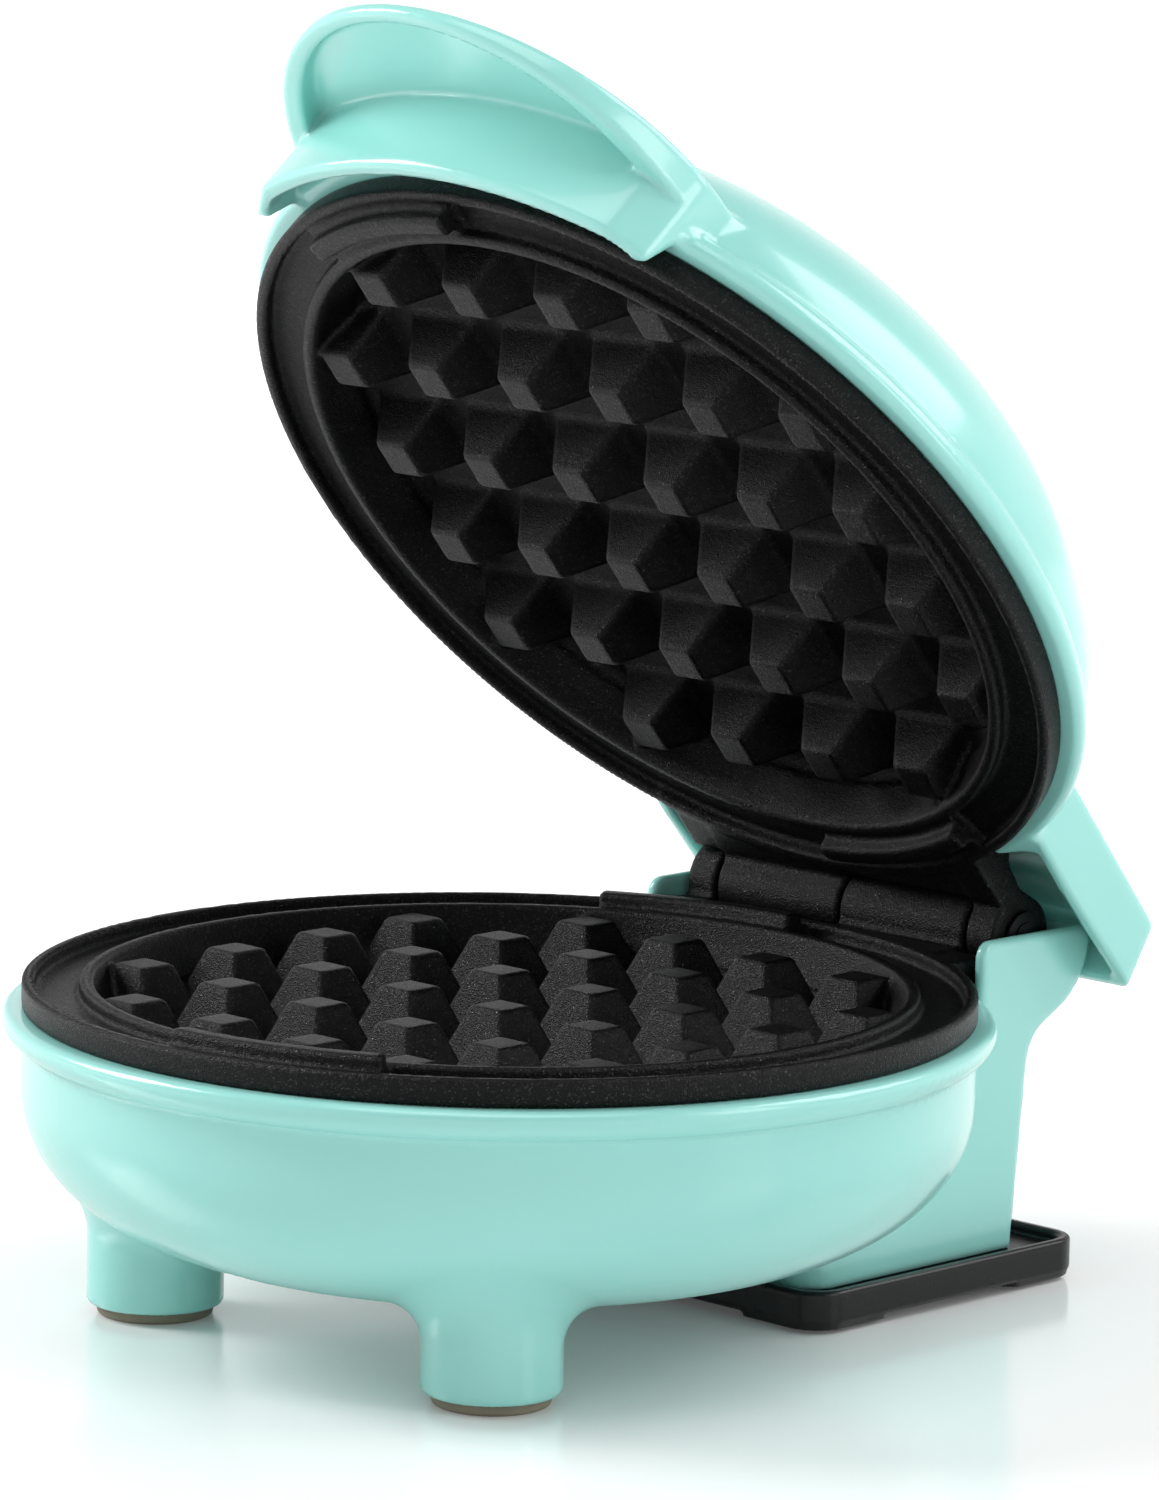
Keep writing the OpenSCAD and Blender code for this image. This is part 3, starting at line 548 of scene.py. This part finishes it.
def lid_field(x, y, z):
    """Dome, handle and tail, with the upper plate's posts and the lamp's seat."""
    r = length(x, y)
    dome = join(dome_outline(r, z), lid_lip(r, z), 0.35)
    handle = handle_field(x, y, z, r)
    shell = join(dome, handle, 1.4)
    shell = join(shell, tail_field(x, y, z), 1.6)
    shell = cut(shell, dome_hollow(r, z), 0.4)
    shell = cut(shell, tail_hollow(x, y, z), 0.5)
    tongue_room = block(x, y, z, (-27.8, 27.8), (48, 55.6), (LID_LIP - 2, LID_LIP + 1.6))
    shell = cut(shell, tongue_room, 0.2)
    post_low = LID_SEAM + POST_END
    posts = np.maximum(at_bosses(x, y, -1) - BOSS_R, dome_outline(r, z) + 0.5)
    posts = common(posts, post_low - z, 0.3)
    spigots = common(at_bosses(x, y, -1) - 1.5, slab(z, post_low - 4.8, post_low + 1), 0.3)
    shell = join(shell, np.minimum(posts, spigots), 0.5)
    lens_at = length(x, y - LENS_Y)
    holder = common(slab(lens_at, 6.02, 7.5), slab(z, DOME_TOP - WALL - 4, DOME_TOP - 1), 0.3)
    shell = join(shell, holder, 0.4)
    return cut(shell, np.maximum(lens_at - 3.05, 70 - z), 0.3)


# ---- Cord-wrap stand ----

STAND_X, STAND_FRONT, STAND_BACK = 35.4, 22, 73.8


def stand_field(x, y, z):
    """Flat tray that the cord winds above, on four small feet."""
    plan = rounded_rect(x, y, STAND_X, STAND_FRONT, STAND_BACK, 5)
    plate = common(plan, slab(z, 1.2, 5.6), 0.5)
    edge = 1.6
    tray_plan = rounded_rect(x, y, STAND_X - edge, STAND_FRONT + edge, STAND_BACK - edge, 3.4)
    tray = common(tray_plan, 4.2 - z)
    plate = cut(plate, tray, 0.4)
    pad_at = length(np.abs(x) - STAND_X + 7, np.abs(y - 47.9) - 18.9)
    feet = common(np.maximum(plan + 0.3, pad_at - 9), slab(z, 0.5, 2), 0.3)
    plate = join(plate, feet, 0.3)
    plate = cut(plate, np.maximum(pad_at - 4.05, z - 1.8), 0.2)
    screw_at = length(np.abs(x) - STAND_SCREW_X, y - STAND_SCREW_Y)
    plate = cut(plate, screw_at - 1.7)
    return cut(plate, common(screw_at - 3.2, z - 3), 0.2)


# ---- Making the pieces ----


def to_row(points, on_lid):
    """Plate-centred millimetres to the row's metres, swung up with the lid if asked."""
    x, y, z = points.T
    if on_lid:
        c, s = math.cos(LID_OPEN), math.sin(LID_OPEN)
        dy, dz = y - HINGE_Y, z - HINGE_Z
        y, z = HINGE_Y + c * dy + s * dz, HINGE_Z - s * dy + c * dz
    return np.stack([x, y + CENTRE_Y, z], axis=1) * MM


def add_mesh(name, points, faces, material, body, node):
    """A piece that rides on a body in place of a CAD node."""
    mesh = bpy.data.meshes.new(name)
    mesh.from_pydata(points.tolist(), [], faces)
    mesh.validate()
    mesh.shade_smooth()
    mesh.materials.append(material)
    piece = bpy.data.objects.new(name, mesh)
    bpy.context.scene.collection.objects.link(piece)
    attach(piece, body)
    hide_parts(node)


def mould(name, field, low, high, cell, material, body, node, flipped=False):
    """The surface of a field, in place of a CAD node."""
    points, faces = surface(field, low, high, cell)
    if flipped:
        points = points * (-1, 1, -1) + (0, 0, LID_SEAM)
    add_mesh(name, to_row(points, body == "lid"), faces.tolist(), material, body, node)


slot_of = {s["node"]: s["material_slot"] for s in frame["record"]["subparts"]}


# ---- Materials ----


class Shader:
    """A node material with a few short ways to add what the surfaces need."""

    def __init__(self, name, **sockets):
        self.material = bpy.data.materials.new(name)
        self.material.use_nodes = True
        self.tree = self.material.node_tree
        self.main = self.tree.nodes["Principled BSDF"]
        for socket, value in sockets.items():
            self.main.inputs[socket.replace("_", " ")].default_value = value
        self.place = self.tree.nodes.new("ShaderNodeTexCoord").outputs["Object"]

    def node(self, kind, inputs=None, **settings):
        made = self.tree.nodes.new("ShaderNode" + kind)
        for key, value in settings.items():
            setattr(made, key, value)
        for key, value in (inputs or {}).items():
            self.feed(value, made.inputs[key])
        return made

    def feed(self, value, socket):
        if isinstance(value, bpy.types.NodeSocket):
            self.tree.links.new(value, socket)
        else:
            socket.default_value = value

    def noise(self, scale, detail=2.0, stretch=None):
        place = self.place
        if stretch:
            place = self.node("Mapping", {"Vector": place, "Scale": stretch}).outputs[0]
        return self.node(
            "TexNoise", {"Vector": place, "Scale": scale, "Detail": detail}
        ).outputs["Fac"]

    def cells(self, scale):
        return self.node("TexVoronoi", {"Vector": self.place, "Scale": scale})

    def between(self, fac, low, high, start=0.0, end=1.0):
        return self.node(
            "MapRange",
            {"Value": fac, "From Min": start, "From Max": end, "To Min": low, "To Max": high},
        ).outputs["Result"]

    def blend(self, fac, a, b):
        made = self.node("Mix", data_type="RGBA")
        self.feed(fac, made.inputs["Factor"])
        self.feed(a, made.inputs["A"])
        self.feed(b, made.inputs["B"])
        return made.outputs["Result"]

    def bump(self, height, strength, distance, under=None):
        inputs = {"Height": height, "Strength": strength, "Distance": distance}
        if under is not None:
            inputs["Normal"] = under
        return self.node("Bump", inputs).outputs["Normal"]

    def use(self, **sockets):
        for socket, value in sockets.items():
            self.feed(value, self.main.inputs[socket.replace("_", " ")])
        return self.material


def rgb(red, green, blue):
    """Display colour, 0 to 255, as the linear colour that a shader takes."""
    linear = [(v / 255 + 0.055) / 1.055 for v in (red, green, blue)]
    return (*[v**2.4 for v in linear], 1.0)


def moulded_gloss():
    """Glossy mint plastic: faint clouding, and the slight waviness of a moulded skin."""
    s = Shader(
        "mint_gloss",
        IOR=1.5,
        Subsurface_Weight=0.06,
        Subsurface_Scale=0.002,
        Subsurface_Radius=(0.6, 1.0, 0.9),
        Coat_Weight=0.35,
        Coat_Roughness=0.08,
    )
    tint = s.blend(s.noise(28, 3), rgb(143, 208, 200), rgb(149, 212, 205))
    wave = s.bump(s.noise(140, 1), 0.05, 0.0004)
    grain = s.bump(s.noise(3200, 2), 0.02, 0.00004, wave)
    return s.use(
        Base_Color=tint, Roughness=s.between(s.noise(60, 3), 0.2, 0.27), Normal=grain
    )


def nonstick():
    """Black coating on cast metal: a fine grain whose flakes glint in the light."""
    s = Shader("nonstick_coating", IOR=1.5, Specular_IOR_Level=0.16)
    flakes = s.cells(5400)
    fleck = s.between(flakes.outputs["Color"], 0, 1, 0.74, 0.95)
    patch = s.blend(s.noise(90, 4), rgb(3, 3, 3), rgb(6, 6, 6))
    cast = s.bump(s.noise(1700, 3), 0.6, 0.00018)
    skin = s.bump(flakes.outputs["Distance"], 0.8, 0.0001, cast)
    return s.use(
        Base_Color=s.blend(fleck, patch, rgb(66, 65, 63)),
        Metallic=fleck,
        Roughness=s.between(fleck, 0.38, 0.26),
        Normal=skin,
    )


def black_moulding():
    """Black plastic with the fine spark-eroded grain of its mould."""
    s = Shader("black_moulding", IOR=1.48, Specular_IOR_Level=0.3)
    tint = s.blend(s.noise(70, 4), rgb(9, 9, 9), rgb(15, 14, 14))
    grain = s.bump(s.noise(2600, 3), 0.35, 0.00008)
    return s.use(
        Base_Color=tint, Roughness=s.between(s.noise(400, 2), 0.24, 0.34), Normal=grain
    )


def pad_rubber():
    s = Shader("pad_rubber", IOR=1.45)
    tint = s.blend(s.noise(220, 4), rgb(112, 107, 92), rgb(136, 130, 112))
    grain = s.bump(s.noise(1800, 4), 0.5, 0.0001)
    return s.use(
        Base_Color=tint, Roughness=s.between(s.noise(500, 2), 0.62, 0.8), Normal=grain
    )


def metal(name, dark, pale, rough, stretch, depth):
    """Bare metal with brushing or drawing marks that run along the short stretch."""
    s = Shader(name, Metallic=1.0)
    marks = s.noise(900, 4, stretch)
    tint = s.blend(s.noise(120, 4), dark, pale)
    lines = s.bump(marks, 0.3, depth)
    return s.use(
        Base_Color=tint, Roughness=s.between(marks, rough - 0.08, rough + 0.1), Normal=lines
    )


def glazed():
    s = Shader("glazed_ceramic", IOR=1.5)
    speck = s.between(s.noise(900, 3), 0, 1, 0.62, 0.7)
    specks = s.blend(speck, rgb(232, 226, 210), rgb(196, 186, 164))
    return s.use(
        Base_Color=specks,
        Roughness=s.between(s.noise(160, 3), 0.25, 0.42),
        Normal=s.bump(s.noise(700, 3), 0.2, 0.00008),
    )


def silicone():
    s = Shader("silicone_insulation", IOR=1.43)
    tint = s.blend(s.noise(160, 3), rgb(222, 219, 209), rgb(206, 202, 190))
    return s.use(
        Base_Color=tint,
        Roughness=s.between(s.noise(300, 3), 0.45, 0.62),
        Normal=s.bump(s.noise(1500, 3), 0.25, 0.00005),
    )


def braided():
    """Glass-fibre braid: two waves that cross, over a slightly uneven grey."""
    s = Shader("glass_braid", Roughness=0.75)
    waves = []
    for turn in ((0.8, 0, 0), (-0.8, 0, 0)):
        place = s.node("Mapping", {"Vector": s.place, "Rotation": turn}).outputs[0]
        waves.append(s.node("TexWave", {"Vector": place, "Scale": 420.0}).outputs["Fac"])
    weave = s.node("Math", {0: waves[0], 1: waves[1]}, operation="MAXIMUM").outputs[0]
    tint = s.blend(weave, rgb(96, 98, 100), rgb(158, 160, 162))
    return s.use(Base_Color=tint, Normal=s.bump(weave, 0.6, 0.0002))


def amber():
    s = Shader("amber_lens", IOR=1.49, Transmission_Weight=0.55)
    tint = s.blend(s.noise(500, 3), rgb(236, 128, 32), rgb(214, 98, 18))
    facets = s.bump(s.cells(1400).outputs["Distance"], 0.25, 0.0002)
    return s.use(
        Base_Color=tint, Roughness=s.between(s.noise(300, 2), 0.12, 0.25), Normal=facets
    )


def lamp_glass():
    s = Shader("lamp_glass", IOR=1.5, Transmission_Weight=0.9)
    tint = s.blend(s.noise(700, 3), rgb(250, 226, 205), rgb(240, 190, 150))
    return s.use(Base_Color=tint, Roughness=s.between(s.noise(300, 2), 0.05, 0.15))


MINT = moulded_gloss()
COATING = nonstick()
BLACK = black_moulding()
RUBBER = pad_rubber()
# Each metal's dark and pale tint, roughness, the way its marks stretch, and their depth.
METALS = {
    "black_oxide_steel": (rgb(26, 26, 27), rgb(48, 48, 49), 0.42, (1, 5, 5), 0.00005),
    "zinc_steel": (rgb(150, 153, 158), rgb(196, 198, 200), 0.32, (1, 6, 6), 0.00005),
    "heated_sheath": (rgb(70, 62, 58), rgb(120, 112, 106), 0.5, (3, 3, 3), 0.00008),
    "rolled_sheet": (rgb(170, 172, 174), rgb(208, 210, 211), 0.28, (1, 12, 12), 0.00004),
}
BY_SLOT = {
    "mint_shell": MINT,
    "nonstick": COATING,
    "black_plastic": BLACK,
    "pad_rubber": RUBBER,
    "black_steel": metal("black_oxide_steel", *METALS["black_oxide_steel"]),
    "zinc_steel": metal("zinc_steel", *METALS["zinc_steel"]),
    "element_steel": metal("heated_sheath", *METALS["heated_sheath"]),
    "shield_sheet": metal("rolled_sheet", *METALS["rolled_sheet"]),
    "ceramic": glazed(),
    "lead_insulation": silicone(),
    "sleeve_braid": braided(),
    "amber_lens": amber(),
    "lamp_glass": lamp_glass(),
}

# ---- Moulded and cast pieces ----

BASE_SPACE = (-64, -64, 0.5), (64, 81, 47)
LID_SPACE = (-64, -85, 40.5), (64, 83, 77)
STAND_SPACE = (-37, 20, 0), (37, 75.5, 7)
mould("base_moulding", base_field, *BASE_SPACE, BASE_CELL, MINT, "base", "base_shell")
mould("lid_moulding", lid_field, *LID_SPACE, LID_CELL, MINT, "lid", "lid_shell")
mould(
    "lower_casting",
    lambda x, y, z: casting(HINGE_Z - SEAM)(x, y, z - SEAM),
    (-62, -62, SEAM - 17),
    (62, 76, SEAM + 8),
    CASTING_CELL,
    COATING,
    "base",
    "lower_plate",
)
mould(
    "upper_casting",
    casting(LID_SEAM - HINGE_Z),
    (-62, -62, -17),
    (62, 76, 6),
    CASTING_CELL,
    COATING,
    "lid",
    "upper_plate",
    flipped=True,
)
mould("stand_moulding", stand_field, *STAND_SPACE, STAND_CELL, BLACK, "base", "cord_wrap_base")


def lathe(name, outline, centre, material, body, node, steps=96):
    """A round piece turned from an outline of radius and height, closed at both ends."""
    rings = [(r, z) for r, z in outline if r > 0]
    turn = np.linspace(0, 2 * math.pi, steps, endpoint=False)
    points = [
        (centre[0] + r * math.cos(t), centre[1] + r * math.sin(t), z)
        for r, z in rings
        for t in turn
    ]
    faces = []
    for i in range(len(rings) - 1):
        for j in range(steps):
            k = (j + 1) % steps
            low, high = i * steps, (i + 1) * steps
            faces.append((low + j, low + k, high + k, high + j))
    for ring, (_, z) in ((0, rings[0]), (len(rings) - 1, rings[-1])):
        points.append((centre[0], centre[1], z))
        for j in range(steps):
            a, b = ring * steps + j, ring * steps + (j + 1) % steps
            faces.append((len(points) - 1, b, a) if ring == 0 else (len(points) - 1, a, b))
    add_mesh(name, to_row(np.array(points), body == "lid"), faces, material, body, node)


pad_profile = [
    (0.01, 0),
    (PAD_R - 1.6, 0),
    *arc((PAD_R - 0.7, 0.6), 0.6, -90, 0, 5),
    (PAD_R - 0.1, 2.2),
    (PAD_R - 0.3, 2.39),
    (0.01, 2.39),
]
for side, name in ((-1, "left_foot_pad"), (1, "right_foot_pad")):
    lathe(name + "_rubber", pad_profile, (side * FOOT_X, FOOT_Y), RUBBER, "base", name)

# The CAD nodes that are still shown keep their meshes and get their own material.
CRISP_ANGLE = math.radians(35)
for name, node in frame["nodes"].items():
    if node.hide_render:
        continue
    node.data.materials.clear()
    node.data.materials.append(BY_SLOT[slot_of[name]])
    node.data.shade_smooth()
    crisp = node.modifiers.new("crisp edges", "EDGE_SPLIT")
    crisp.split_angle = CRISP_ANGLE

# ---- Floor, light and camera ----


NEAR_GLOW, FAR_GLOW = 0.05, 0.9
GLOW_FROM, GLOW_TO = 0.12, 1.2
SKY, WALL_GLOW, WALL_TOP = 0.28, 1.05, 0.18
WHITE = (1, 1, 1, 1)


def floor_material():
    """Semi-gloss white board that glows more the further it is from the object."""
    s = Shader(
        "studio_floor",
        Roughness=0.16,
        IOR=1.6,
        Base_Color=(0.86, 0.86, 0.86, 1),
        Emission_Color=WHITE,
    )
    away = s.node("VectorMath", {"Vector": s.place}, operation="LENGTH").outputs["Value"]
    return s.use(Emission_Strength=s.between(away, NEAR_GLOW, FAR_GLOW, GLOW_FROM, GLOW_TO))


floor_mesh = bpy.data.meshes.new("floor")
floor_mesh.from_pydata([(-6, -6, 0), (6, -6, 0), (6, 6, 0), (-6, 6, 0)], [], [(0, 1, 2, 3)])
floor_mesh.materials.append(floor_material())
floor = bpy.data.objects.new("floor", floor_mesh)
bpy.context.scene.collection.objects.link(floor)

# A white studio wall near the horizon, and a dimmer ceiling above it.
world = bpy.data.worlds.new("studio")
world.use_nodes = True
nodes, links = world.node_tree.nodes, world.node_tree.links
background = nodes["Background"]
background.inputs["Color"].default_value = WHITE
heading = nodes.new("ShaderNodeTexCoord")
split = nodes.new("ShaderNodeSeparateXYZ")
fade = nodes.new("ShaderNodeMapRange")
fade.inputs["From Min"].default_value = WALL_TOP
fade.inputs["From Max"].default_value = WALL_TOP * 3
fade.inputs["To Min"].default_value = WALL_GLOW
fade.inputs["To Max"].default_value = SKY
links.new(heading.outputs["Generated"], split.inputs[0])
links.new(split.outputs["Z"], fade.inputs["Value"])
links.new(fade.outputs["Result"], background.inputs["Strength"])
bpy.context.scene.world = world


def softbox(name, heading, height, distance, size, power, aim=(0, 0, 0.06)):
    """Rectangular light; heading is in degrees from the front, positive to the right."""
    turn, lift = math.radians(heading), math.radians(height)
    place = Vector(aim) + distance * Vector(
        (math.sin(turn) * math.cos(lift), -math.cos(turn) * math.cos(lift), math.sin(lift))
    )
    light = bpy.data.lights.new(name, "AREA")
    light.shape = "RECTANGLE"
    light.size, light.size_y = size
    light.energy = power
    lamp = bpy.data.objects.new(name, light)
    lamp.location = place
    lamp.rotation_mode = "QUATERNION"
    lamp.rotation_quaternion = (Vector(aim) - place).to_track_quat("-Z", "Y")
    bpy.context.scene.collection.objects.link(lamp)


softbox("key", -60, 32, 1.1, (0.4, 0.55), 10.5)
softbox("side window", 104, 26, 1.2, (0.35, 0.7), 3.2)
softbox("back", 150, 42, 1.2, (0.7, 0.7), 6.5)
softbox("top", 20, 80, 1.2, (0.8, 0.8), 4.5)

scene = bpy.context.scene
scene.view_settings.view_transform = "Standard"

AZIMUTH, ELEVATION, ROLL = (math.radians(v) for v in (44.17, 9.57, 1.18))
LENS, SENSOR = 179.53, 36
CAMERA_AT = Vector((651.49, -657.22 + CENTRE_Y, 229.23)) * MM
back = Vector(
    (
        math.sin(AZIMUTH) * math.cos(ELEVATION),
        -math.cos(AZIMUTH) * math.cos(ELEVATION),
        math.sin(ELEVATION),
    )
)
level_right = Vector((math.cos(AZIMUTH), math.sin(AZIMUTH), 0))
level_up = back.cross(level_right)
right = level_right * math.cos(ROLL) + level_up * math.sin(ROLL)
up = level_up * math.cos(ROLL) - level_right * math.sin(ROLL)
camera = bpy.data.objects.new("camera", bpy.data.cameras.new("camera"))
camera.data.lens = LENS
camera.data.sensor_width = SENSOR
camera.data.clip_start = 0.05
camera.matrix_world = Matrix((right, up, back)).transposed().to_4x4()
camera.location = CAMERA_AT
scene.collection.objects.link(camera)
scene.camera = camera
